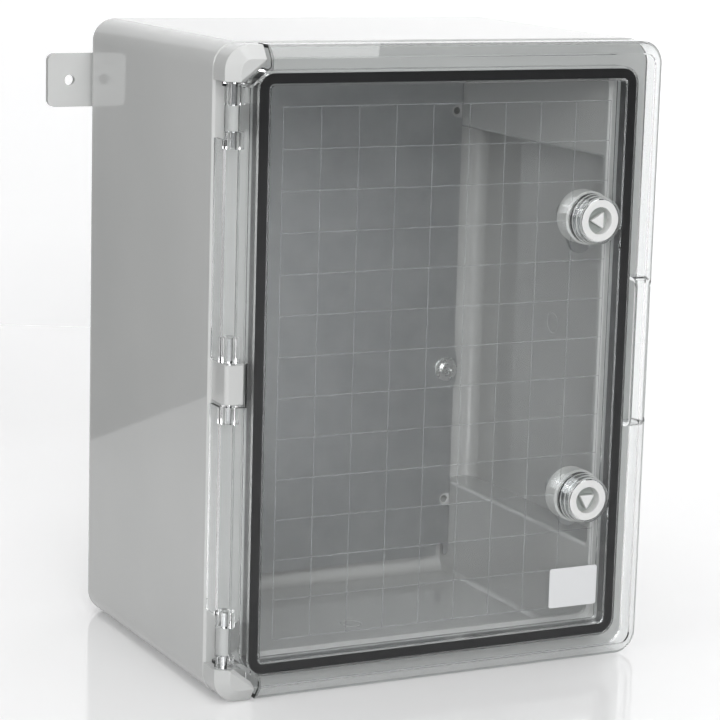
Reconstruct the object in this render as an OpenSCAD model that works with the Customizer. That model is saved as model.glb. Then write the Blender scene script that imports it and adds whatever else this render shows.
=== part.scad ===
// Plastic wall cabinet with a clear hinged door and two quarter-turn locks.
// Sizes are in millimetres. Each module is drawn lying on its back: x across, y up, z out of the wall.
// stand() then turns the drawn piece upright.

/* [Cabinet] */
// Width of the cabinet
cabinet_w = 300; // [270:1:360]
// Height of the cabinet
cabinet_h = 400; // [370:1:480]
// Depth of the tub, from its back to its front flange
tub_d = 207.5; // [150:0.5:250]
// Depth of the door in front of the flange
door_d = 22.5; // [22:0.1:24]
// Wall thickness of the tub
wall = 3; // [2.6:0.1:3.4]
// Radius of the tub's upright and level edges
edge_r = 15; // [13:0.5:17]
// Radius of the tub's back edges
back_r = 12; // [9:0.5:12.5]

/* [Seal] */
// Distance from the cabinet's side to the middle of the seal
seal_side = 23.65; // [22.8:0.05:25]
// Distance from the cabinet's top and bottom to the middle of the seal
seal_end = 20.2; // [19.5:0.1:21.5]
// Width of the rubber gasket
gasket_w = 6; // [5:0.1:6.4]
// Thickness of the rubber gasket
gasket_t = 7.6; // [6.6:0.1:8]
// Thickness of the sealing rim
rim_t = 3.4; // [2.4:0.1:3.6]

/* [Door] */
// Thickness of the clear sheet
sheet_t = 3; // [2.6:0.1:3.2]
// Thickness of the door's skirt
skirt_t = 2.3; // [1.8:0.1:2.4]
// How far the bevel comes in from the door's side
bevel_in = 8; // [7.5:0.1:8.6]
// How far the bevel rises to the door's front
bevel_up = 6; // [5.5:0.1:6.3]
// Height of the finger grip in the free edge
grip_h = 93; // [70:1:110]
// How far the finger grip goes in
grip_in = 10; // [7:0.5:11]

/* [Hinge] */
// Distance from the cabinet's side to the hinge line
hinge_side = 7.5; // [7.4:0.05:7.8]
// Diameter of the hinge pins
pin_d = 4; // [3:0.1:4.2]
// Height of the middle hinge block
block_h = 24; // [16:1:32]

/* [Locks] */
// Distance from the cabinet's free side to the locks
lock_side = 51; // [48:0.5:60]
// Distance between the two locks
lock_pitch = 179; // [150:1:220]
// Diameter of the lock's face
lock_d = 27.3; // [26:0.1:28]
// Side of the triangle that the key fits
triangle_side = 10.3; // [8:0.1:11]
// How far the turned cam holds behind the flange
cam_hold = 5.4; // [4:0.2:9]
// Angle of the cam below the level at rest, clear of the flange
cam_rest = 65; // [62:1:90]

/* [Inside and back] */
// Thickness of the mounting plate
plate_t = 1.5; // [1:0.1:3]
// Height of the bosses that carry the plate
plate_stand = 10.5; // [8:0.5:14]
// Length of a wall lug
lug_l = 56; // [50:1:64]
// Width of a wall lug
lug_w = 35; // [28:1:40]
// Thickness of a wall lug
lug_t = 4; // [3.5:0.1:5]

/* [Hidden] */
$fn = 72;

// Running play of a pin or shaft, small gap between pieces that pass each other
play = 0.05;
slip = 0.3;
// How far two solids of one piece run into each other, and how far a cut runs past a face
lap = 1;
cut_in = 0.01;
past = 5;

// Half sizes of the cabinet
half_w = cabinet_w / 2;
mid_y = cabinet_h / 2;

// Levels out from the wall
skirt_gap = 0.5;
flange_top = tub_d;
flange_under = tub_d - wall;
door_front = tub_d + door_d;
sheet_back = door_front - sheet_t;
bevel_z = door_front - bevel_up;
skirt_z = flange_top + skirt_gap;
gasket_back = sheet_back - gasket_t;
rim_top = gasket_back - slip;
edge_chamfer = 1.5;

// Outline of the door, a little inside that of the tub
door_less = 0.6;
door_r_less = 0.5;
door_y0 = door_less;
door_y1 = cabinet_h - door_less;
door_r = edge_r - door_r_less;

// Bevel: how far the inner face of the bevel lies inside the outer one, measured level
bevel_len = sqrt(bevel_in * bevel_in + bevel_up * bevel_up);
bevel_shift = skirt_t * bevel_len / bevel_up;
inner_z = bevel_z - (bevel_shift - skirt_t) * bevel_up / bevel_in;
inner_in = bevel_shift + (sheet_back - bevel_z) * bevel_in / bevel_up;

// Seal: corner radius at its middle line, flange opening inside the rim, ribs of the channel
seal_r = 6.8;
rim_ledge = 3;
opening_side = seal_side + rim_t / 2 + rim_ledge;
opening_end = seal_end + rim_t / 2 + rim_ledge;
opening_r = 5;
gasket_gap = 0.1;
rib_t = 1.4;
rib_over = 3;
rib_back = rim_top - rib_over;
channel_w = gasket_w + 2 * gasket_gap;

// Ejector marks in the tub's inner walls
mark_r = 7.4;
mark_ring = 1.4;
mark_deep = 0.4;
mark_out = 4;
mark_z = tub_d / 2 + mark_out;

// Hinge line
hinge_deep = 8;
hinge_x = -half_w + hinge_side;
hinge_z = door_front - hinge_deep;
pin_r = pin_d / 2;
tub_knuckle_r = 3.4;
door_knuckle_r = 5.5;
knuckle_gap = 0.5;
web_t = 5;
web_angle = 48;

// Hinge strip of the door: gap over the flange, hollow behind it, ends of its side wall
strip_gap = 2.5;
strip_z = flange_top + strip_gap;
strip_w = 30;
strip_hollow_w = 24;
strip_hollow_z = 2.5;
strip_open_low = 9;
strip_open_high = 5;

// Heights along the hinge line
cap_h = 22;
cap_over = 1;
strip_end = cap_h + cap_over;
upper_knuckle_end = 36;
upper_knuckle_l = 15;
lower_knuckle_end = 30.5;
lower_knuckle_l = 17;
upper_knuckle = [cabinet_h - upper_knuckle_end - upper_knuckle_l, cabinet_h - upper_knuckle_end];
lower_knuckle = [lower_knuckle_end, lower_knuckle_end + lower_knuckle_l];
block_drop = 2;
block_y0 = mid_y - block_drop - block_h / 2;
block_y1 = block_y0 + block_h;
block_gap = 1.5;
middle_reach = 14;
pin_over = 9.5;
pin_in_cap = 4;
cap_bore = 4.5;

// Hinge caps: where the slanted side starts and ends, and the door's gap beside it
cap_foot = 11;
cap_w = 24;
cap_foot_x = -half_w + cap_foot;
cap_end_x = -half_w + cap_w;
cap_slant_y = 9;
cap_slant_x = 11.5;
cap_rise = 3;
cap_angle = atan2(cap_slant_y, cap_slant_x);
cap_gap = 3.3;
cap_bevel = 3.4;
peg_r = 3;
peg_side = 15;
peg_end = 11;

// Middle hinge block about the hinge line: its sides, front and pegs
block_left = 5;
block_right = 8.2;
block_out = 5.5;
block_corner = 2.5;
block_round = 8.5;
block_room = 8;
block_peg_r = 2.5;
block_peg_in = 1.5;

// Door corner cut beside a cap
cut_side = 3;
cut_x0 = cap_foot_x + cap_gap / sin(cap_angle) - cap_over / tan(cap_angle);
cut_x1 = cap_end_x + cut_side;
cut_rise = (cut_x1 - cut_x0) * tan(cap_angle);

// Finger grip
grip_y0 = mid_y - grip_h / 2;
grip_y1 = mid_y + grip_h / 2;
grip_deep = 8;
grip_z = door_front - grip_deep;
grip_below = 20;
grip_r = 4;

// Locks
lock_x = half_w - lock_side;
upper_lock_y = mid_y + lock_pitch / 2;
lower_lock_y = mid_y - lock_pitch / 2;
collar_h = 11.5;
lock_face = door_front + collar_h;
lock_r = lock_d / 2;
lock_bevel = 0.8;
collar_gap = 0.1;
collar_r = lock_r + collar_gap;
// Wall and height of each step of the collar
collar_steps = [[2.3, 4], [1.8, 8], [1.1, collar_h]];
neck_r = 11;
neck_gap = 1.5;
neck_play = 0.15;
neck_end = flange_top + neck_gap;
lock_seal_t = 1;
nut_t = 11;
nut_r = 17;
nut_play = 0.1;
rotor_r = 8.45;
rotor_seat = 4.2;
rotor_gap = 0.2;
key_deep = 6.5;
rotor_floor = lock_face - key_deep;
rotor_back = neck_end + rotor_seat;
shaft_r = 6;
triangle_r = triangle_side / sqrt(3);
triangle_sunk = 1;
triangle_top = lock_face - triangle_sunk;
square_s = 8;
square_play = 0.1;
cam_t = 3.5;
cam_gap = 1;
cam_front = flange_under - cam_gap;
cam_back = cam_front - cam_t;
cam_hub_r = 8;
cam_w = 15;
cam_reach = lock_side - opening_side + cam_hold;
cam_head_r = 6;
cam_head_t = 3;
cam_screw_l = 6;

// Mounting plate
plate_back = wall + plate_stand;
plate_front = plate_back + plate_t;
plate_side = 27.4;
plate_end = 16;
plate_r = 3;
plate_half = half_w - plate_side;
plate_y0 = plate_end;
plate_y1 = cabinet_h - plate_end;
plate_screw_side = 34;
plate_screw_drop = 48;
plate_screw_x = half_w - plate_screw_side;
plate_screw_y = mid_y - plate_screw_drop;
notch_side = 31;
notch_low = 57;
notch_high = 65;
notch_r = 4.5;
notch_run = 20;
foot_r = 3;
foot_deep = 6;
plate_notch_x = half_w - notch_side;
plate_notch_y = [notch_low, cabinet_h - notch_high];
ear = 2.6;
ear_half = 15;
ear_r = (ear_half * ear_half + ear * ear) / (2 * ear);
boss_r = 6;
boss_bore_r = 2.5;
boss_floor = 0.5;
washer_r = 8.25;
washer_t = 1.5;
washer_play = 0.25;
screw_r = 2;
screw_tip = 2;
screw_head_r = 4.7;
screw_head_t = 3.5;
screw_bevel = 1.1;
cross_l = 4.6;
cross_w = 1.1;
cross_deep = 1.5;

// Wall lugs
lug_end = 41;
lug_out = 27;
lug_hole_out = 12;
lug_screw_in = 16.5;
lug_y = cabinet_h - lug_end;
lug_low_y = lug_end;
lug_screw_x = half_w - lug_screw_in;
lug_out_x = half_w + lug_out;
lug_hole_x = half_w + lug_hole_out;
lug_hole_r = 3.5;
lug_r = 5;
lug_boss_h = 11;
lug_screw_l = 10;
sink_r = 4.4;
sink_t = 2.2;

// The row stands on the floor with its middle over the origin
back_y = (lock_face - lug_t) / 2;

// Turns a piece drawn on its back upright
module stand() {
    translate([0, back_y, 0]) rotate([90, 0, 0]) children();
}

// Turns a piece drawn at the top over to the bottom
module at_bottom() {
    translate([0, cabinet_h, 0]) mirror([0, 1, 0]) children();
}

// Rectangle with round corners
module round_rect(x0, x1, y0, y1, r) {
    translate([x0 + r, y0]) square([x1 - x0 - 2 * r, y1 - y0]);
    translate([x0, y0 + r]) square([x1 - x0, y1 - y0 - 2 * r]);
    for (x = [x0 + r, x1 - r], y = [y0 + r, y1 - r]) translate([x, y]) circle(r);
}

// Ring along the seal's middle line, from level z0 to z1
module seal_ring(width, z0, z1) {
    out = width / 2;
    translate([0, 0, z0]) linear_extrude(z1 - z0) difference() {
        round_rect(-half_w + seal_side - out, half_w - seal_side + out,
            seal_end - out, cabinet_h - seal_end + out, seal_r + out);
        round_rect(-half_w + seal_side + out, half_w - seal_side - out,
            seal_end + out, cabinet_h - seal_end - out, seal_r - out);
    }
}

// Section of a pan: flat floor at zero, floor corners rounded by b
module pan_section(x0, x1, d, b) {
    translate([x0, b]) square([x1 - x0, d - b]);
    translate([x0 + b, 0]) square([x1 - x0 - 2 * b, d]);
    for (x = [x0 + b, x1 - b]) translate([x, b]) circle(b);
}

// Solid pan with corner radius r and floor edge radius b
module pan(half, y0, y1, d, r, b) {
    translate([-half + r, 0, 0]) rotate([90, 0, 90]) linear_extrude(2 * (half - r))
        pan_section(y0, y1, d, b);
    translate([0, y1 - r, 0]) rotate([90, 0, 0]) linear_extrude(y1 - y0 - 2 * r)
        pan_section(-half, half, d, b);
    for (x = [-half + r, half - r], y = [y0 + r, y1 - r]) translate([x, y, 0]) rotate_extrude() {
        square([r - b, d]);
        translate([0, b]) square([r, d - b]);
        translate([r - b, b]) intersection() {
            circle(b);
            translate([0, -b]) square([b, 2 * b]);
        }
    }
}

// Front edge of the tub: block whose four sides lean in by lean over the height h
module chamfer_block(half, y0, y1, r, lean, h) {
    for (x = [-half + r, half - r], y = [y0 + r, y1 - r]) translate([x, y, 0])
        cylinder(r1 = r, r2 = r - lean, h = h);
    translate([-half + r, 0, 0]) rotate([90, 0, 90]) linear_extrude(2 * (half - r))
        polygon([[y0, 0], [y1, 0], [y1 - lean, h], [y0 + lean, h]]);
    translate([0, y1 - r, 0]) rotate([90, 0, 0]) linear_extrude(y1 - y0 - 2 * r)
        polygon([[-half, 0], [half, 0], [half - lean, h], [-half + lean, h]]);
}

// Block with straight sides from z0 to z1, which then lean in by lean up to z2
module lean_block(half, y0, y1, r, lean, z0, z1, z2) {
    for (x = [-half + r, half - r], y = [y0 + r, y1 - r]) translate([x, y, 0]) rotate_extrude()
        polygon([[0, z0], [r, z0], [r, z1], [r - lean, z2], [0, z2]]);
    translate([-half + r, 0, 0]) rotate([90, 0, 90]) linear_extrude(2 * (half - r))
        polygon([[y0, z0], [y1, z0], [y1, z1], [y1 - lean, z2], [y0 + lean, z2], [y0, z1]]);
    translate([0, y1 - r, 0]) rotate([90, 0, 0]) linear_extrude(y1 - y0 - 2 * r)
        polygon([[-half, z0], [half, z0], [half, z1], [half - lean, z2], [-half + lean, z2], [-half, z1]]);
}

// Round head of radius r from level z0 to z1, with its far edge bevelled by b
module bevelled_head(r, z0, z1, b) {
    rotate_extrude() polygon([[0, z0], [r, z0], [r, z1 - b], [r - b, z1], [0, z1]]);
}

// Rod along the hinge line from height y0 to y1
module hinge_rod(r, y0, y1) {
    translate([hinge_x, y0, hinge_z]) rotate([-90, 0, 0]) cylinder(r = r, h = y1 - y0);
}

// Solid outer form that the door and the hinge caps share
module front_form(r) {
    lean_block(half_w, door_y0, door_y1, r, bevel_in, flange_top, bevel_z, door_front);
}

// Tub: pan with a front flange, sealing rim, hinge knuckles and bosses
module tub() {
    color([0.80, 0.81, 0.81]) stand() difference() {
        union() {
            difference() {
                tub_shell();
                translate([0, 0, flange_under - cut_in]) linear_extrude(wall + lap)
                    round_rect(-half_w + opening_side, half_w - opening_side,
                        opening_end, cabinet_h - opening_end, opening_r);
            }
            seal_ring(rim_t, flange_top - lap, rim_top);
            hinge_knuckle(upper_knuckle);
            hinge_knuckle(lower_knuckle);
            for (side = [-1, 1]) translate([side * plate_screw_x, plate_screw_y, wall - lap])
                cylinder(r = boss_r, h = plate_stand + lap);
            for (side = [-1, 1], y = plate_notch_y) translate([side * plate_notch_x, y, wall - lap])
                cylinder(r = boss_r, h = plate_stand + lap);
            for (side = [-1, 1], y = [lug_low_y, lug_y]) translate([side * lug_screw_x, y, wall - lap])
                cylinder(r = boss_r, h = lug_boss_h + lap);
        }
        for (side = [-1, 1]) translate([side * plate_screw_x, plate_screw_y, wall + boss_floor])
            cylinder(r = screw_r + play, h = plate_stand + lap);
        for (side = [-1, 1], y = plate_notch_y) translate([side * plate_notch_x, y, wall + boss_floor])
            cylinder(r = boss_bore_r, h = plate_stand + lap);
        for (side = [-1, 1], y = [lug_low_y, lug_y]) translate([side * lug_screw_x, y, -cut_in])
            cylinder(r = screw_r + play, h = lug_boss_h);
        hinge_rod(pin_r + play, upper_knuckle[0] - lap, upper_knuckle[1] + lap);
        hinge_rod(pin_r + play, lower_knuckle[0] - lap, lower_knuckle[1] + lap);
        cap_peg(play, flange_under, flange_top);
        at_bottom() cap_peg(play, flange_under, flange_top);
        block_pegs(play, flange_under, flange_top);
        wall_marks();
    }
}

// Hollow pan of the tub with its front edge chamfered
module tub_shell() {
    difference() {
        union() {
            pan(half_w, 0, cabinet_h, tub_d - edge_chamfer, edge_r, back_r);
            translate([0, 0, tub_d - edge_chamfer])
                chamfer_block(half_w, 0, cabinet_h, edge_r, edge_chamfer, edge_chamfer);
        }
        translate([0, 0, wall])
            pan(half_w - wall, wall, cabinet_h - wall, flange_under - wall, edge_r - wall, back_r - wall);
    }
}

// Knuckle for a hinge pin on a slanted web from the flange
module hinge_knuckle(span) {
    across = [cos(web_angle), -sin(web_angle)];
    beside = [sin(web_angle), cos(web_angle)] * web_t / 2;
    drop = hinge_z - flange_top + lap;
    near = (drop + beside[1]) / sin(web_angle);
    far = (drop - beside[1]) / sin(web_angle);
    hinge_rod(tub_knuckle_r, span[0], span[1]);
    translate([hinge_x, span[1], hinge_z]) rotate([90, 0, 0]) linear_extrude(span[1] - span[0])
        polygon([beside, beside + across * near, -beside + across * far, -beside]);
}

// Shallow ring that an ejector pin leaves in a wall
module wall_mark() {
    difference() {
        cylinder(r = mark_r, h = lap + mark_deep);
        translate([0, 0, -lap]) cylinder(r = mark_r - mark_ring, h = 3 * lap + mark_deep);
    }
}

// Ejector marks in the middle of the four inner walls
module wall_marks() {
    for (side = [-1, 1]) translate([side * (half_w - wall - lap), mid_y, mark_z])
        rotate([0, side * 90, 0]) wall_mark();
    translate([0, wall + lap, mark_z]) rotate([90, 0, 0]) wall_mark();
    translate([0, cabinet_h - wall - lap, mark_z]) rotate([-90, 0, 0]) wall_mark();
}

// Peg under a hinge cap from level z0 to z1, grown by grow for its hole
module cap_peg(grow, z0, z1) {
    translate([-half_w + peg_side, cabinet_h - peg_end, z0])
        cylinder(r = peg_r + grow, h = z1 - z0);
}

// Pegs under the middle hinge block from level z0 to z1, grown by grow for their holes
module block_pegs(grow, z0, z1) {
    middle = (block_y0 + block_y1) / 2;
    for (side = [-1, 1]) translate([hinge_x + block_peg_in, middle + side * block_h / 4, z0])
        cylinder(r = block_peg_r + grow, h = z1 - z0);
}

// Hinge cap for the upper left corner
module hinge_cap() {
    y0 = cabinet_h - cap_h;
    difference() {
        union() {
            intersection() {
                front_form(edge_r);
                linear_extrude(door_front + lap) polygon([[-half_w - lap, y0], [cap_foot_x, y0],
                    [cap_foot_x + cap_slant_x, y0 + cap_slant_y], [cap_end_x, y0 + cap_slant_y + cap_rise],
                    [cap_end_x, cabinet_h + lap], [-half_w - lap, cabinet_h + lap]]);
            }
            cap_peg(0, flange_under, flange_top + lap);
        }
        hinge_rod(pin_r + play, y0 - lap, y0 + cap_bore);
        translate([cap_foot_x, y0, door_front]) rotate([0, 0, cap_angle]) rotate([45, 0, 0])
            cube([3 * cap_w, cap_bevel, cap_bevel], center = true);
    }
}

module upper_hinge_cap() {
    color([0.80, 0.81, 0.81]) stand() hinge_cap();
}

module lower_hinge_cap() {
    color([0.80, 0.81, 0.81]) stand() at_bottom() hinge_cap();
}

// Block that holds the middle pin in the window of the hinge strip
module middle_hinge_block() {
    rise = hinge_z - flange_top;
    block_w = block_left + block_right;
    color([0.80, 0.81, 0.81]) stand() difference() {
        union() {
            translate([hinge_x, block_y1, hinge_z]) rotate([90, 0, 0]) linear_extrude(block_h)
                intersection() {
                    union() {
                        translate([-block_left, -rise]) square([block_w, rise]);
                        round_rect(-block_left, block_right, -rise, block_out, block_corner);
                    }
                    union() {
                        circle(block_round);
                        translate([-block_left, -rise]) square([block_w, rise]);
                    }
                }
            block_pegs(0, flange_under, flange_top + lap);
        }
        hinge_rod(pin_r + play, block_y0 - lap, block_y1 + lap);
    }
}

// Steel hinge pins
module upper_hinge_pin() {
    color([0.75, 0.76, 0.78]) stand()
        hinge_rod(pin_r, upper_knuckle[0] - pin_over, cabinet_h - cap_h + pin_in_cap);
}

module middle_hinge_pin() {
    color([0.75, 0.76, 0.78]) stand()
        hinge_rod(pin_r, block_y0 - block_gap - pin_over, block_y1 + block_gap + middle_reach);
}

module lower_hinge_pin() {
    color([0.75, 0.76, 0.78]) stand() hinge_rod(pin_r, cap_h - pin_in_cap, lower_knuckle[1] + pin_over);
}

// Galvanised mounting plate with eared sides and open notches
module mounting_plate() {
    color([0.62, 0.63, 0.64]) stand() translate([0, 0, plate_back]) linear_extrude(plate_t) difference() {
        union() {
            round_rect(-plate_half, plate_half, plate_y0, plate_y1, plate_r);
            for (side = [-1, 1]) translate([side * (plate_half + ear - ear_r), plate_screw_y]) circle(ear_r);
        }
        for (side = [-1, 1]) {
            translate([side * plate_screw_x, plate_screw_y]) circle(screw_r + washer_play);
            for (y = plate_notch_y) {
                translate([side * plate_notch_x, y]) circle(notch_r);
                translate([side * (plate_notch_x + notch_run / 2), y])
                    square([notch_run, 2 * notch_r], center = true);
            }
            translate([side * plate_screw_x, plate_y0 + foot_deep]) circle(foot_r);
            translate([side * plate_screw_x, plate_y0]) square([2 * foot_r, 2 * foot_deep], center = true);
        }
    }
}

// Cross recess of a screw, cut down from level zero
module cross_recess() {
    for (turn = [0, 90]) rotate([0, 0, turn]) translate([-cross_l / 2, -cross_w / 2, -cross_deep])
        cube([cross_l, cross_w, cross_deep + lap]);
}

// Round screw head with a bevelled edge, standing on level zero
module screw_head(r, t) {
    difference() {
        bevelled_head(r, 0, t, screw_bevel);
        translate([0, 0, t]) cross_recess();
    }
}

// Screws that hold the plate
module plate_screws() {
    z0 = plate_front + washer_t;
    color([0.80, 0.78, 0.70]) stand() for (side = [-1, 1])
        translate([side * plate_screw_x, plate_screw_y, 0]) {
            translate([0, 0, wall + screw_tip]) cylinder(r = screw_r, h = z0 - wall - screw_tip + lap);
            translate([0, 0, z0]) screw_head(screw_head_r, screw_head_t);
        }
}

// Washers under the plate screws
module plate_washers() {
    color([0.80, 0.78, 0.70]) stand() for (side = [-1, 1])
        translate([side * plate_screw_x, plate_screw_y, plate_front]) difference() {
            cylinder(r = washer_r, h = washer_t);
            translate([0, 0, -lap]) cylinder(r = screw_r + washer_play, h = washer_t + 2 * lap);
        }
}

// Wall lug for the right side
module wall_lug() {
    difference() {
        translate([0, 0, -lug_t]) linear_extrude(lug_t) difference() {
            round_rect(lug_out_x - lug_l, lug_out_x, lug_y - lug_w / 2, lug_y + lug_w / 2, lug_r);
            translate([lug_hole_x, lug_y]) circle(lug_hole_r);
            translate([lug_screw_x, lug_y]) circle(screw_r + washer_play);
        }
        translate([lug_screw_x, lug_y, -lug_t])
            cylinder(r1 = sink_r + play, r2 = screw_r + play, h = sink_t);
    }
}

module wall_lug_left() {
    color([0.80, 0.81, 0.81]) stand() mirror([1, 0, 0]) wall_lug();
}

module wall_lug_right() {
    color([0.80, 0.81, 0.81]) stand() wall_lug();
}

// Countersunk screws from the lugs into the tub
module wall_lug_screws() {
    color([0.75, 0.76, 0.78]) stand() for (side = [-1, 1])
        translate([side * lug_screw_x, lug_y, -lug_t]) difference() {
            union() {
                cylinder(r1 = sink_r, r2 = screw_r, h = sink_t);
                cylinder(r = screw_r, h = lug_t + lug_screw_l);
            }
            mirror([0, 0, 1]) cross_recess();
        }
}

// Region taken off the door beside a hinge cap, grown by g
module corner_cut(g) {
    y0 = cabinet_h - strip_end - g;
    linear_extrude(door_front + past) polygon([[-half_w - past, y0], [cut_x0 + g * tan(cap_angle / 2), y0],
        [cut_x1 + g, cabinet_h - strip_end + cut_rise - g * tan(45 - cap_angle / 2)],
        [cut_x1 + g, cabinet_h + past], [-half_w - past, cabinet_h + past]]);
}

// Region taken off the door's free edge for the fingers, grown by g
module grip_cut(g) {
    translate([half_w - grip_in - g, 0, 0]) rotate([90, 0, 90]) linear_extrude(grip_in + g + past)
        round_rect(grip_y0 - g, grip_y1 + g, flange_top - grip_below, grip_z + g, grip_r + g);
}

// Hollow form of the door: skirt, bevel, sheet, and walls round the cut corners and the grip
module door_shell() {
    difference() {
        front_form(door_r);
        corner_cut(0);
        at_bottom() corner_cut(0);
        grip_cut(0);
        translate([-half_w - lap, -lap, flange_top - lap])
            cube([cabinet_w + 2 * lap, cabinet_h + 2 * lap, skirt_gap + lap]);
        difference() {
            lean_block(half_w - skirt_t, door_y0 + skirt_t, door_y1 - skirt_t, door_r - skirt_t,
                inner_in - skirt_t, flange_top - lap, inner_z, sheet_back);
            corner_cut(skirt_t);
            at_bottom() corner_cut(skirt_t);
            grip_cut(skirt_t);
        }
        strip_cuts();
    }
}

// Openings in the hinge strip: room to swing, the windows for the webs and the block
module strip_cuts() {
    open_low = lower_knuckle[1] + strip_open_low;
    open_high = upper_knuckle[0] - strip_open_high;
    z0 = flange_top - lap;
    translate([-half_w - lap, -lap, z0]) cube([strip_w + lap, cabinet_h + 2 * lap, strip_z - z0]);
    translate([-half_w + skirt_t + knuckle_gap, -lap, z0])
        cube([strip_hollow_w, cabinet_h + 2 * lap, strip_z + strip_hollow_z - z0]);
    translate([-half_w - lap, -lap, z0]) cube([skirt_t + 2 * lap, open_low + lap, bevel_z - z0]);
    translate([-half_w - lap, open_high, z0])
        cube([skirt_t + 2 * lap, cabinet_h - open_high + lap, bevel_z - z0]);
    block_window();
}

// Window in the hinge strip for the middle block
module block_window() {
    translate([-half_w - lap, block_y0 - block_gap, flange_top - lap])
        cube([lap + hinge_side + block_room, block_h + 2 * block_gap, door_d + past]);
}

// Knuckles of the door between those of the tub, the block and the caps
module door_knuckles() {
    end = pin_over + 2 * knuckle_gap;
    hinge_rod(door_knuckle_r, upper_knuckle[1] + knuckle_gap, cabinet_h - strip_end);
    hinge_rod(door_knuckle_r, upper_knuckle[0] - end, upper_knuckle[0] - knuckle_gap);
    hinge_rod(door_knuckle_r, block_y1 + block_gap, block_y1 + block_gap + middle_reach + 2 * knuckle_gap);
    hinge_rod(door_knuckle_r, block_y0 - block_gap - end, block_y0 - block_gap);
    hinge_rod(door_knuckle_r, lower_knuckle[1] + knuckle_gap, lower_knuckle[1] + end);
    hinge_rod(door_knuckle_r, strip_end, lower_knuckle[0] - knuckle_gap);
}

// Stepped collar round a lock on the door's front
module lock_collar() {
    for (step = collar_steps) translate([0, 0, door_front - lap])
        cylinder(r = collar_r + step[0], h = step[1] + lap);
}

// Clear door
module door() {
    color([0.85, 0.90, 0.92, 0.35]) stand() difference() {
        union() {
            door_shell();
            door_knuckles();
            seal_ring(channel_w + 2 * rib_t, rib_back, sheet_back + lap);
            for (y = [lower_lock_y, upper_lock_y]) translate([lock_x, y, 0]) lock_collar();
        }
        seal_ring(channel_w, rib_back - lap, sheet_back);
        hinge_rod(pin_r + play, lap, cabinet_h - lap);
        for (y = [lower_lock_y, upper_lock_y]) translate([lock_x, y, 0]) {
            translate([0, 0, door_front]) cylinder(r = collar_r, h = collar_h + lap);
            translate([0, 0, sheet_back - lap]) cylinder(r = neck_r + neck_play, h = sheet_t + 2 * lap);
        }
    }
}

// Rubber gasket in the door's channel
module door_gasket() {
    color([0.05, 0.05, 0.05]) stand() seal_ring(gasket_w, gasket_back, sheet_back);
}

// Fixed ring and threaded neck of a lock
module lock_housing() {
    difference() {
        union() {
            bevelled_head(lock_r, door_front + lock_seal_t, lock_face, lock_bevel);
            translate([0, 0, neck_end]) cylinder(r = neck_r, h = door_front + lock_seal_t + lap - neck_end);
        }
        translate([0, 0, rotor_back - rotor_gap])
            cylinder(r = rotor_r + play, h = lock_face + lap - rotor_back);
        translate([0, 0, neck_end - lap]) cylinder(r = shaft_r + play, h = rotor_seat + 2 * lap);
    }
}

// Flat rubber washer under the housing's head
module lock_seal() {
    translate([0, 0, door_front]) difference() {
        cylinder(r = lock_r, h = lock_seal_t);
        translate([0, 0, -lap]) cylinder(r = neck_r + nut_play, h = lock_seal_t + 2 * lap);
    }
}

// Round nut behind the door
module lock_nut() {
    translate([0, 0, sheet_back - nut_t]) difference() {
        cylinder(r = nut_r, h = nut_t);
        translate([0, 0, -lap]) cylinder(r = neck_r + nut_play, h = nut_t + 2 * lap);
    }
}

// Turning core: key triangle, barrel, shaft and square, with the triangle's tip turned by tip
// The square is turned with the cam
module lock_rotor(tip) {
    difference() {
        union() {
            rotate([0, 0, tip]) translate([0, 0, rotor_floor - lap])
                cylinder(r = triangle_r, h = triangle_top - rotor_floor + lap, $fn = 3);
            translate([0, 0, rotor_back]) cylinder(r = rotor_r, h = rotor_floor - rotor_back);
            translate([0, 0, cam_front]) cylinder(r = shaft_r, h = rotor_back - cam_front + lap);
            rotate([0, 0, -cam_rest]) translate([-square_s / 2, -square_s / 2, cam_back])
                cube([square_s, square_s, cam_t + lap]);
        }
        translate([0, 0, cam_back - lap]) cylinder(r = screw_r + play, h = cam_screw_l + 2 * lap);
    }
}

// Flat cam on the square, its tongue turned down clear of the flange
module lock_cam() {
    rotate([0, 0, -cam_rest]) translate([0, 0, cam_back]) linear_extrude(cam_t) difference() {
        union() {
            circle(cam_hub_r);
            translate([0, -cam_w / 2]) square([cam_reach - cam_w / 2, cam_w]);
            translate([cam_reach - cam_w / 2, 0]) circle(cam_w / 2);
        }
        square(square_s + square_play, center = true);
    }
}

// Screw that holds the cam on the square
module lock_cam_screw() {
    translate([0, 0, cam_back - lap]) cylinder(r = screw_r, h = cam_screw_l + lap);
    translate([0, 0, cam_back]) mirror([0, 0, 1]) screw_head(cam_head_r, cam_head_t);
}

// Place of the upper and the lower lock
module at_upper_lock() {
    stand() translate([lock_x, upper_lock_y, 0]) children();
}

module at_lower_lock() {
    stand() translate([lock_x, lower_lock_y, 0]) children();
}

module upper_lock_housing() {
    color([0.90, 0.90, 0.90]) at_upper_lock() lock_housing();
}

module upper_lock_seal() {
    color([0.10, 0.10, 0.10]) at_upper_lock() lock_seal();
}

module upper_lock_nut() {
    color([0.90, 0.90, 0.90]) at_upper_lock() lock_nut();
}

module upper_lock_rotor() {
    color([0.86, 0.86, 0.86]) at_upper_lock() lock_rotor(180);
}

module upper_lock_cam() {
    color([0.70, 0.71, 0.73]) at_upper_lock() lock_cam();
}

module upper_lock_cam_screw() {
    color([0.75, 0.76, 0.78]) at_upper_lock() lock_cam_screw();
}

module lower_lock_housing() {
    color([0.90, 0.90, 0.90]) at_lower_lock() lock_housing();
}

module lower_lock_seal() {
    color([0.10, 0.10, 0.10]) at_lower_lock() lock_seal();
}

module lower_lock_nut() {
    color([0.90, 0.90, 0.90]) at_lower_lock() lock_nut();
}

module lower_lock_rotor() {
    color([0.86, 0.86, 0.86]) at_lower_lock() lock_rotor(270);
}

module lower_lock_cam() {
    color([0.70, 0.71, 0.73]) at_lower_lock() lock_cam();
}

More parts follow.
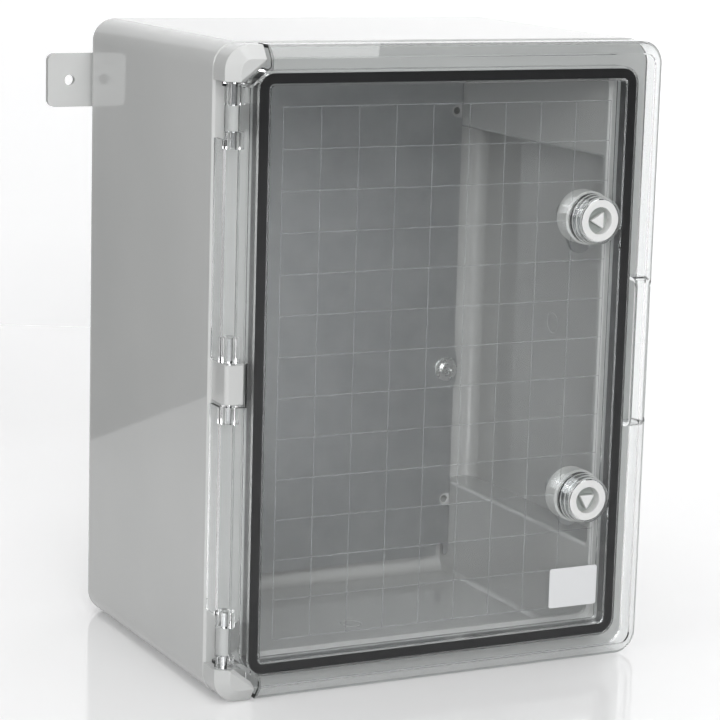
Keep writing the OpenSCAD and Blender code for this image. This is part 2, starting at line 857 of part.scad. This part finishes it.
module lower_lock_cam_screw() {
    color([0.75, 0.76, 0.78]) at_lower_lock() lock_cam_screw();
}

tub();
upper_hinge_cap();
lower_hinge_cap();
middle_hinge_block();
upper_hinge_pin();
middle_hinge_pin();
lower_hinge_pin();
mounting_plate();
plate_screws();
plate_washers();
wall_lug_left();
wall_lug_right();
wall_lug_screws();
door();
door_gasket();
upper_lock_housing();
upper_lock_seal();
upper_lock_nut();
upper_lock_rotor();
upper_lock_cam();
upper_lock_cam_screw();
lower_lock_housing();
lower_lock_seal();
lower_lock_nut();
lower_lock_rotor();
lower_lock_cam();
lower_lock_cam_screw();
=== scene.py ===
import bpy
import bmesh
import math
from mathutils import Matrix, Vector


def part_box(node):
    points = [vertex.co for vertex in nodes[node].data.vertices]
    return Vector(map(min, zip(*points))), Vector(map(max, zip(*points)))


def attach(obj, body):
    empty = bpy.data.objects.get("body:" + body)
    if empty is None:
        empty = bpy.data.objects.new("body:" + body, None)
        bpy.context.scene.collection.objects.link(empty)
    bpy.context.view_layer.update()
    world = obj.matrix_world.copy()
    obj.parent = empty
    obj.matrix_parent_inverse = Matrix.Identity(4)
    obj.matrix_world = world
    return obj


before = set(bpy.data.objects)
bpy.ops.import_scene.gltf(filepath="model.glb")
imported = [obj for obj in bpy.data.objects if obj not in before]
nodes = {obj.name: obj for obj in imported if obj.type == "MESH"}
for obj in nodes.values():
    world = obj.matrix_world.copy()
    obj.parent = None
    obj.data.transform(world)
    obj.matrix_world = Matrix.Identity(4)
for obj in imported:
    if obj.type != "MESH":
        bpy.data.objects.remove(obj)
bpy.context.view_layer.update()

scene = bpy.context.scene
MM = 0.001

# Back plane of the tub
BACK_Y = 118.75 * MM

# Front and back of the door's sheet, from the front of the lock housing
HEAD_PROUD, SHEET_THICK = 11.5 * MM, 3.0 * MM
housing_low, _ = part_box("upper_lock_housing")
DOOR_FRONT = housing_low.y + HEAD_PROUD
SHEET_BACK = DOOR_FRONT + SHEET_THICK


# Shader helpers
BEVEL_SAMPLES = 4


def new_material(name):
    material = bpy.data.materials.new(name)
    material.use_nodes = True
    tree = material.node_tree
    shader = tree.nodes["Principled BSDF"]
    return material, tree, shader


def source_of(socket):
    """The socket that feeds a linked socket."""
    return socket.links[0].from_socket


def math_node(tree, operation, first, second):
    """Joins a socket and a second socket or number by one operation."""
    node = tree.nodes.new("ShaderNodeMath")
    node.operation = operation
    tree.links.new(first, node.inputs[0])
    if isinstance(second, float):
        node.inputs[1].default_value = second
    else:
        tree.links.new(second, node.inputs[1])
    return node.outputs["Value"]


def vector_node(tree, operation, source, constant=None):
    node = tree.nodes.new("ShaderNodeVectorMath")
    node.operation = operation
    tree.links.new(source, node.inputs[0])
    if constant is not None:
        node.inputs[1].default_value = constant
    return node


def texture_place(tree, kind):
    return tree.nodes.new("ShaderNodeTexCoord").outputs[kind]


def add_noise(tree, scale, detail=3.0, roughness=0.5, stretch=None):
    place = texture_place(tree, "Object")
    if stretch:
        mapping = tree.nodes.new("ShaderNodeMapping")
        mapping.inputs["Scale"].default_value = stretch
        tree.links.new(place, mapping.inputs["Vector"])
        place = mapping.outputs["Vector"]
    noise = tree.nodes.new("ShaderNodeTexNoise")
    noise.inputs["Scale"].default_value = scale
    noise.inputs["Detail"].default_value = detail
    noise.inputs["Roughness"].default_value = roughness
    tree.links.new(place, noise.inputs["Vector"])
    return noise.outputs["Fac"]


def tint(tree, shader, source, low, high, start=0.3, end=0.7):
    """Colours the shader from low to high by the source."""
    ramp = tree.nodes.new("ShaderNodeValToRGB")
    ramp.color_ramp.elements[0].position = start
    ramp.color_ramp.elements[1].position = end
    ramp.color_ramp.elements[0].color = (*low, 1.0)
    ramp.color_ramp.elements[1].color = (*high, 1.0)
    tree.links.new(source, ramp.inputs["Fac"])
    tree.links.new(ramp.outputs["Color"], shader.inputs["Base Color"])


def roughen(tree, shader, source, low, high):
    """Sets the shader's roughness from low to high by the source."""
    span = tree.nodes.new("ShaderNodeMapRange")
    span.inputs["To Min"].default_value = low
    span.inputs["To Max"].default_value = high
    tree.links.new(source, span.inputs["Value"])
    tree.links.new(span.outputs["Result"], shader.inputs["Roughness"])


def paint_over(tree, shader, mask, colour):
    """Paints a second colour over the shader's own where the mask is one."""
    mix = tree.nodes.new("ShaderNodeMix")
    mix.data_type = "RGBA"
    mix.inputs["B"].default_value = (*colour, 1.0)
    tree.links.new(mask, mix.inputs["Factor"])
    tree.links.new(source_of(shader.inputs["Base Color"]), mix.inputs["A"])
    tree.links.new(mix.outputs["Result"], shader.inputs["Base Color"])


def add_bump(tree, shader, source, strength, distance, edge=0.0):
    """Fine relief by the source, with edges softened over the edge radius."""
    bump = tree.nodes.new("ShaderNodeBump")
    bump.inputs["Strength"].default_value = strength
    bump.inputs["Distance"].default_value = distance
    tree.links.new(source, bump.inputs["Height"])
    if edge > 0.0:
        soft = tree.nodes.new("ShaderNodeBevel")
        soft.samples = BEVEL_SAMPLES
        soft.inputs["Radius"].default_value = edge
        tree.links.new(soft.outputs["Normal"], bump.inputs["Normal"])
    tree.links.new(bump.outputs["Normal"], shader.inputs["Normal"])


def any_ray(tree, *kinds):
    """One for a ray of any of the kinds, zero for all others."""
    path = tree.nodes.new("ShaderNodeLightPath")
    found = path.outputs[kinds[0]]
    for kind in kinds[1:]:
        found = math_node(tree, "MAXIMUM", found, path.outputs[kind])
    return found


def open_where(tree, mask, colour=(1.0, 1.0, 1.0)):
    """Lets light straight through a material where the mask is one."""
    thin = tree.nodes.new("ShaderNodeBsdfTransparent")
    thin.inputs["Color"].default_value = (*colour, 1.0)
    mix = tree.nodes.new("ShaderNodeMixShader")
    tree.links.new(mask, mix.inputs["Fac"])
    tree.links.new(tree.nodes["Principled BSDF"].outputs["BSDF"], mix.inputs[1])
    tree.links.new(thin.outputs["BSDF"], mix.inputs[2])
    tree.links.new(mix.outputs["Shader"], tree.nodes["Material Output"].inputs["Surface"])


# Kinds of material
PLASTIC_IOR, CLEAR_IOR, RUBBER_IOR = 1.53, 1.5, 1.40
CLOUD_SCALE, GRAIN_SCALE, RUBBER_SCALE, WAVE_SCALE = 9.0, 900.0, 1400.0, 18.0
ROUGH_SPREAD = 0.15
SOFT_EDGE = 0.5 * MM
CLEAR_COLOUR, CLEAR_SHADOW = (0.955, 0.962, 0.962), (0.945, 0.95, 0.95)
LOCK_ROUGH, LOCK_GRAIN, RIM_ROUGH = 0.32, 0.05, 0.08

# Middle of a node's own box in Generated coordinates, and the stretch from it to a radius of one about Y
BOX_MIDDLE, BOX_TO_RADIUS = (0.5, 0.5, 0.5), (2.0, 0.0, 2.0)


def plastic(name, low, high, rough, grain):
    material, tree, shader = new_material(name)
    cloud = add_noise(tree, CLOUD_SCALE, detail=2.0)
    tint(tree, shader, cloud, low, high)
    fine = add_noise(tree, GRAIN_SCALE, detail=2.0)
    roughen(tree, shader, fine, rough * (1.0 - ROUGH_SPREAD), rough * (1.0 + ROUGH_SPREAD))
    add_bump(tree, shader, fine, strength=grain, distance=0.1 * MM, edge=SOFT_EDGE)
    shader.inputs["IOR"].default_value = PLASTIC_IOR
    return material, tree, shader


def clear_plastic(name, rough_low, rough_high):
    material, tree, shader = new_material(name)
    shader.inputs["Base Color"].default_value = (*CLEAR_COLOUR, 1.0)
    shader.inputs["Transmission Weight"].default_value = 1.0
    shader.inputs["IOR"].default_value = CLEAR_IOR
    wave = add_noise(tree, WAVE_SCALE, detail=1.0)
    roughen(tree, shader, wave, rough_low, rough_high)
    open_where(tree, any_ray(tree, "Is Shadow Ray", "Is Diffuse Ray"), CLEAR_SHADOW)
    return material


def rubber(name, low, high, rough):
    material, tree, shader = new_material(name)
    fine = add_noise(tree, RUBBER_SCALE)
    tint(tree, shader, fine, low, high)
    shader.inputs["Roughness"].default_value = rough
    shader.inputs["IOR"].default_value = RUBBER_IOR
    add_bump(tree, shader, fine, strength=0.15, distance=0.2 * MM)
    return material


def metal(name, low, high, rough_low, rough_high, scale, stretch=None):
    material, tree, shader = new_material(name)
    noise = add_noise(tree, scale, detail=4.0, roughness=0.6, stretch=stretch)
    tint(tree, shader, noise, low, high)
    roughen(tree, shader, noise, rough_low, rough_high)
    shader.inputs["Metallic"].default_value = 1.0
    add_bump(tree, shader, noise, strength=0.04, distance=0.2 * MM)
    return material


def rotor_plastic(name, low, high, post_colour, post_share):
    """Pale post in the front post_share of the rotor's length, grey dish behind it."""
    material, tree, shader = plastic(name, low, high, LOCK_ROUGH, LOCK_GRAIN)
    split = tree.nodes.new("ShaderNodeSeparateXYZ")
    tree.links.new(texture_place(tree, "Generated"), split.inputs["Vector"])
    in_front = math_node(tree, "LESS_THAN", split.outputs["Y"], post_share)
    paint_over(tree, shader, in_front, post_colour)
    return material


def bezel_plastic(name, low, high, rim_colour, rim_share):
    """White plastic with a bright plated rim: the side faces beyond rim_share of the half width."""
    material, tree, shader = plastic(name, low, high, LOCK_ROUGH, LOCK_GRAIN)
    centred = vector_node(tree, "SUBTRACT", texture_place(tree, "Generated"), BOX_MIDDLE)
    flat = vector_node(tree, "MULTIPLY", centred.outputs["Vector"], BOX_TO_RADIUS)
    radius = vector_node(tree, "LENGTH", flat.outputs["Vector"])
    at_rim = math_node(tree, "GREATER_THAN", radius.outputs["Value"], rim_share)
    paint_over(tree, shader, at_rim, rim_colour)
    tree.links.new(at_rim, shader.inputs["Metallic"])
    roughen(tree, shader, at_rim, LOCK_ROUGH, RIM_ROUGH)
    return material


# Materials of the nodes
grey = plastic("grey_moulding", low=(0.505, 0.512, 0.508), high=(0.535, 0.541, 0.536),
               rough=0.045, grain=0.02)[0]
clear = clear_plastic("clear_polycarbonate", rough_low=0.004, rough_high=0.008)
black_rubber = rubber("black_rubber", low=(0.006, 0.006, 0.007), high=(0.014, 0.014, 0.015), rough=0.62)
galvanised = metal("galvanised_sheet", low=(0.375, 0.387, 0.392), high=(0.425, 0.437, 0.442),
                   rough_low=0.40, rough_high=0.48, scale=60.0)
zinc = metal("zinc_plate", low=(0.60, 0.605, 0.60), high=(0.70, 0.705, 0.70),
             rough_low=0.22, rough_high=0.34, scale=300.0)
dull_zinc = metal("dull_zinc", low=(0.37, 0.38, 0.385), high=(0.43, 0.44, 0.445),
                  rough_low=0.36, rough_high=0.46, scale=300.0)
bright_steel = metal("bright_steel", low=(0.70, 0.71, 0.72), high=(0.80, 0.81, 0.82),
                     rough_low=0.10, rough_high=0.18, scale=400.0, stretch=(1.0, 1.0, 0.05))
bezel = bezel_plastic("lock_bezel", low=(0.70, 0.705, 0.70), high=(0.74, 0.745, 0.74),
                      rim_colour=(0.66, 0.67, 0.68), rim_share=0.955)
nut_plastic = plastic("nut_plastic", low=(0.56, 0.57, 0.56), high=(0.60, 0.61, 0.60),
                      rough=0.34, grain=LOCK_GRAIN)[0]

POST_DEEP = 2.0 * MM
rotor_low, rotor_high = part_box("upper_lock_rotor")
rotor_grey = rotor_plastic("rotor_grey", low=(0.36, 0.385, 0.37), high=(0.40, 0.425, 0.41),
                           post_colour=(0.72, 0.725, 0.72),
                           post_share=POST_DEEP / (rotor_high.y - rotor_low.y))

# A node takes the material of the first ending that its name has, and zinc where it has none
MATERIAL_OF_ENDING = (
    ("tub", grey),
    ("hinge_cap", grey),
    ("hinge_block", grey),
    ("lug_left", grey),
    ("lug_right", grey),
    ("door", clear),
    ("gasket", black_rubber),
    ("seal", black_rubber),
    ("rotor", rotor_grey),
    ("housing", bezel),
    ("nut", nut_plastic),
    ("mounting_plate", galvanised),
    ("lock_cam", dull_zinc),
    ("hinge_pin", bright_steel),
)

for name, obj in nodes.items():
    fitting = [material for ending, material in MATERIAL_OF_ENDING if name.endswith(ending)]
    obj.data.materials.clear()
    obj.data.materials.append(fitting[0] if fitting else zinc)


# Small pieces that stay with the scene

def add_piece(name, mesh_builder, material, body):
    mesh = bpy.data.meshes.new(name)
    bm = bmesh.new()
    mesh_builder(bm)
    bmesh.ops.recalc_face_normals(bm, faces=bm.faces)
    bm.to_mesh(mesh)
    bm.free()
    obj = bpy.data.objects.new(name, mesh)
    scene.collection.objects.link(obj)
    mesh.materials.append(material)
    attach(obj, body)


def add_bar(bm, low, high):
    made = bmesh.ops.create_cube(bm, size=1.0)
    centre = (Vector(low) + Vector(high)) / 2
    size = Vector(high) - Vector(low)
    for vertex in made["verts"]:
        vertex.co = vertex.co * size + centre


def add_prism(bm, section, y_back, y_front):
    """Closed prism along the depth over a section of points (x, z)."""
    back = [bm.verts.new((x, y_back, z)) for x, z in section]
    front = [bm.verts.new((x, y_front, z)) for x, z in section]
    bm.faces.new(back)
    bm.faces.new(front)
    for i in range(len(section)):
        j = (i + 1) % len(section)
        bm.faces.new((back[i], back[j], front[j], front[i]))


# Moulded grid on the inner face of the door
GRID_X0, GRID_PITCH, GRID_Z0 = -113.7 * MM, 25.0 * MM, 363.0 * MM
GRID_COLS, GRID_ROWS = 10, 14
GRID_HALF, GRID_PROUD, GRID_GAP = 0.22 * MM, 0.15 * MM, 0.02 * MM
GRID_ALPHA, GRID_ROUGH, GRID_CLOUD = 0.24, 0.35, 40.0


def build_grid(bm):
    x1 = GRID_X0 + GRID_PITCH * (GRID_COLS - 1)
    z1 = GRID_Z0 - GRID_PITCH * (GRID_ROWS - 1)
    y0, y1 = SHEET_BACK + GRID_GAP, SHEET_BACK + GRID_PROUD
    for col in range(GRID_COLS):
        x = GRID_X0 + GRID_PITCH * col
        add_bar(bm, (x - GRID_HALF, y0, z1), (x + GRID_HALF, y1, GRID_Z0))
    for row in range(GRID_ROWS):
        z = GRID_Z0 - GRID_PITCH * row
        add_bar(bm, (GRID_X0, y0, z - GRID_HALF), (x1, y1, z + GRID_HALF))


grid_material, grid_tree, grid_shader = new_material("grid_lines")
grid_cloud = add_noise(grid_tree, GRID_CLOUD)
tint(grid_tree, grid_shader, grid_cloud, low=(0.40, 0.42, 0.43), high=(0.46, 0.48, 0.49))
grid_shader.inputs["Roughness"].default_value = GRID_ROUGH
grid_shader.inputs["Alpha"].default_value = GRID_ALPHA
add_piece("door_grid", build_grid, grid_material, "door")


# Ledges that box in the tub's right side above and below the locks, flush with the flange's opening
LEDGE_LEFT, LEDGE_RIGHT = 123.0 * MM, 147.3 * MM
LEDGE_SPANS = (
    ("lower_side_ledge", 2.7 * MM, 70.0 * MM),
    ("upper_side_ledge", 397.3 * MM, 324.0 * MM),
)
LEDGE_BACK, LEDGE_FRONT = BACK_Y - 2.7 * MM, BACK_Y - 203.8 * MM
LEDGE_ROUND, LEDGE_FLARE, LEDGE_CORNER = 2.5 * MM, 4.0 * MM, 5.0 * MM
ARC_STEPS = 8


def ledge_section(z_wall, z_open):
    """Section across a ledge: rounded at its free edge, flared where it meets the floor or the ceiling."""
    way = 1.0 if z_open > z_wall else -1.0
    angles = [math.radians(90.0 * step / ARC_STEPS) for step in range(ARC_STEPS + 1)]
    points = [
        (LEDGE_RIGHT - LEDGE_CORNER, z_wall),
        (LEDGE_RIGHT, z_wall + way * LEDGE_CORNER),
        (LEDGE_RIGHT, z_open),
    ]
    for angle in angles:
        points.append((LEDGE_LEFT + LEDGE_ROUND * (1.0 - math.sin(angle)),
                       z_open - way * LEDGE_ROUND * (1.0 - math.cos(angle))))
    for angle in angles:
        points.append((LEDGE_LEFT - LEDGE_FLARE * (1.0 - math.cos(angle)),
                       z_wall + way * LEDGE_FLARE * (1.0 - math.sin(angle))))
    return points


def ledge_builder(z_wall, z_open):
    def build(bm):
        add_prism(bm, ledge_section(z_wall, z_open), LEDGE_BACK, LEDGE_FRONT)
    return build


for ledge_name, z_wall, z_open in LEDGE_SPANS:
    add_piece(ledge_name, ledge_builder(z_wall, z_open), grey, "cabinet")


# Blank plate on the front of the door
PLATE_LEFT, PLATE_RIGHT, PLATE_LOW, PLATE_HIGH = 80 * MM, 115 * MM, 38 * MM, 64 * MM
PLATE_ROUND, PLATE_GAP, PLATE_PROUD = 1.6 * MM, 0.02 * MM, 0.3 * MM
CORNER_STEPS = 6


def build_plate(bm):
    left, right_side = PLATE_LEFT + PLATE_ROUND, PLATE_RIGHT - PLATE_ROUND
    low_side, high_side = PLATE_LOW + PLATE_ROUND, PLATE_HIGH - PLATE_ROUND
    corners = ((right_side, high_side), (left, high_side), (left, low_side), (right_side, low_side))
    ring = []
    for quarter, (x, z) in enumerate(corners):
        for step in range(CORNER_STEPS + 1):
            angle = math.radians(90 * quarter + step * 90 / CORNER_STEPS)
            ring.append((x + PLATE_ROUND * math.cos(angle), z + PLATE_ROUND * math.sin(angle)))
    add_prism(bm, ring, DOOR_FRONT - PLATE_GAP, DOOR_FRONT - PLATE_PROUD)


plate_material = plastic("blank_plate", low=(0.66, 0.67, 0.68), high=(0.72, 0.73, 0.74),
                         rough=0.4, grain=0.03)[0]
add_piece("blank_plate", build_plate, plate_material, "door")


# Camera: place, yaw, pitch, roll and focal length fitted to the photograph
YAW, PITCH, ROLL = math.radians(26.7875), math.radians(10.9182), math.radians(1.6026)
CAMERA_PLACE = Vector((-778.518 * MM, BACK_Y - 1653.196 * MM, 516.449 * MM))
FOCAL_PIXELS, PHOTO_PIXELS, SENSOR = 2680.935, 720.0, 36.0
FARTHEST = 100.0

forward = Vector((math.sin(YAW) * math.cos(PITCH), math.cos(YAW) * math.cos(PITCH), -math.sin(PITCH)))
right = Vector((math.cos(YAW), -math.sin(YAW), 0.0))
up = right.cross(forward)
rolled_right = math.cos(ROLL) * right + math.sin(ROLL) * up
rolled_up = -math.sin(ROLL) * right + math.cos(ROLL) * up
camera_data = bpy.data.cameras.new("camera")
camera_data.lens = FOCAL_PIXELS / PHOTO_PIXELS * SENSOR
camera_data.sensor_width = SENSOR
camera_data.clip_end = FARTHEST
camera = bpy.data.objects.new("camera", camera_data)
scene.collection.objects.link(camera)
camera.matrix_world = Matrix((
    (rolled_right.x, rolled_up.x, -forward.x, CAMERA_PLACE.x),
    (rolled_right.y, rolled_up.y, -forward.y, CAMERA_PLACE.y),
    (rolled_right.z, rolled_up.z, -forward.z, CAMERA_PLACE.z),
    (0.0, 0.0, 0.0, 1.0)))
scene.camera = camera


# Stage: a glossy pale floor and a backdrop square to the camera
away = Vector((math.sin(YAW), math.cos(YAW), 0.0))
upright = Vector((0.0, 0.0, 1.0))
FLOOR_BACK, FLOOR_FRONT, FLOOR_HALF = 1.1, 12.0, 12.0
BACKDROP_HALF, BACKDROP_HIGH = 4.0, 4.0
SHOWN_COLOUR = (0.99, 0.99, 1.0, 1.0)
FAR_GAIN = 2.15


def stage_plane(name, corners, material):
    mesh = bpy.data.meshes.new(name)
    mesh.from_pydata([tuple(c) for c in corners], [], [tuple(range(len(corners)))])
    obj = bpy.data.objects.new(name, mesh)
    scene.collection.objects.link(obj)
    mesh.materials.append(material)


def stage_material(name, colour, rough, shown=0.0):
    """Plain stage surface that adds the light shown to what a view or a reflection sees of it."""
    material, tree, shader = new_material(name)
    shader.inputs["Base Color"].default_value = (colour, colour, colour, 1.0)
    shader.inputs["Roughness"].default_value = rough
    if shown > 0.0:
        seen = any_ray(tree, "Is Camera Ray", "Is Glossy Ray", "Is Transmission Ray")
        shader.inputs["Emission Color"].default_value = SHOWN_COLOUR
        tree.links.new(math_node(tree, "MULTIPLY", seen, shown), shader.inputs["Emission Strength"])
    return material


def brighten_far(material, near, far, gain):
    """Raises the shown light of a stage material from distance near to far behind the cabinet."""
    tree = material.node_tree
    strength = tree.nodes["Principled BSDF"].inputs["Emission Strength"]
    position = tree.nodes.new("ShaderNodeNewGeometry").outputs["Position"]
    along = vector_node(tree, "DOT_PRODUCT", position, away)
    fade = tree.nodes.new("ShaderNodeMapRange")
    fade.inputs["From Min"].default_value = near
    fade.inputs["From Max"].default_value = far
    fade.inputs["To Min"].default_value = 1.0
    fade.inputs["To Max"].default_value = gain
    tree.links.new(along.outputs["Value"], fade.inputs["Value"])
    tree.links.new(math_node(tree, "MULTIPLY", source_of(strength), fade.outputs["Result"]), strength)


floor_material = stage_material("stage_floor", colour=0.80, rough=0.10, shown=0.14)
brighten_far(floor_material, near=0.0, far=FLOOR_BACK, gain=FAR_GAIN)
floor_back, floor_front = away * FLOOR_BACK, -away * FLOOR_FRONT
floor_side = right * FLOOR_HALF
stage_plane("stage_floor", [floor_back - floor_side, floor_back + floor_side,
                            floor_front + floor_side, floor_front - floor_side], floor_material)

# The backdrop is open from its back, so that the cabinet shows in views from behind
backdrop_material = stage_material("stage_backdrop", colour=0.80, rough=0.9, shown=0.46)
backdrop_tree = backdrop_material.node_tree
open_where(backdrop_tree, backdrop_tree.nodes.new("ShaderNodeNewGeometry").outputs["Backfacing"])
backdrop_side, backdrop_rise = right * BACKDROP_HALF, upright * BACKDROP_HIGH
stage_plane("stage_backdrop", [floor_back - backdrop_side, floor_back + backdrop_side,
                               floor_back + backdrop_side + backdrop_rise,
                               floor_back - backdrop_side + backdrop_rise], backdrop_material)

# Dark card at the left, which the side of the tub reflects and no view shows
CARD_NEAR, CARD_FAR = Vector((-0.290, 0.562, 0.0)), Vector((-1.457, 1.504, 0.0))
CARD_HIGH = 2.0
card_rise = upright * CARD_HIGH
card_material = stage_material("stage_card", colour=0.03, rough=0.9)
card_tree = card_material.node_tree
open_where(card_tree, any_ray(card_tree, "Is Camera Ray", "Is Transmission Ray"))
stage_plane("stage_card", [CARD_NEAR, CARD_FAR, CARD_FAR + card_rise, CARD_NEAR + card_rise], card_material)


# Lights: softboxes aimed at the middle of the cabinet
AIM = Vector((0.0, 0.0, 0.2))
TOP_PLACE = Vector((0.0, -0.2, 2.2))
WORLD_COLOUR, WORLD_STRENGTH = (0.9, 0.92, 0.94, 1.0), 0.03


def round_the_cabinet(bearing, height, distance):
    """Place by the bearing from the front, the height angle and the distance."""
    flat = distance * math.cos(math.radians(height))
    turn = math.radians(bearing)
    rise = distance * math.sin(math.radians(height))
    return AIM + Vector((flat * math.sin(turn), -flat * math.cos(turn), rise))


def softbox(name, place, width, height, watts):
    data = bpy.data.lights.new(name, "AREA")
    data.shape = "RECTANGLE"
    data.size = width
    data.size_y = height
    data.energy = watts
    obj = bpy.data.objects.new(name, data)
    scene.collection.objects.link(obj)
    obj.location = place
    obj.rotation_mode = "QUATERNION"
    obj.rotation_quaternion = (AIM - place).to_track_quat("-Z", "Y")


key_place = round_the_cabinet(bearing=-25, height=15, distance=2.8)
front_place = round_the_cabinet(bearing=-8, height=30, distance=2.8)
left_place = round_the_cabinet(bearing=-80, height=20, distance=2.6)
softbox("light_key", key_place, width=1.6, height=1.0, watts=32.0)
softbox("light_front", front_place, width=1.6, height=1.0, watts=25.5)
softbox("light_left", left_place, width=1.4, height=1.2, watts=18.5)
softbox("light_top", TOP_PLACE, width=1.8, height=1.8, watts=23.5)

world = bpy.data.worlds.new("studio")
scene.world = world
world.use_nodes = True
background = world.node_tree.nodes["Background"]
background.inputs["Color"].default_value = WORLD_COLOUR
background.inputs["Strength"].default_value = WORLD_STRENGTH

scene.view_settings.view_transform = "Standard"

bpy.context.view_layer.update()
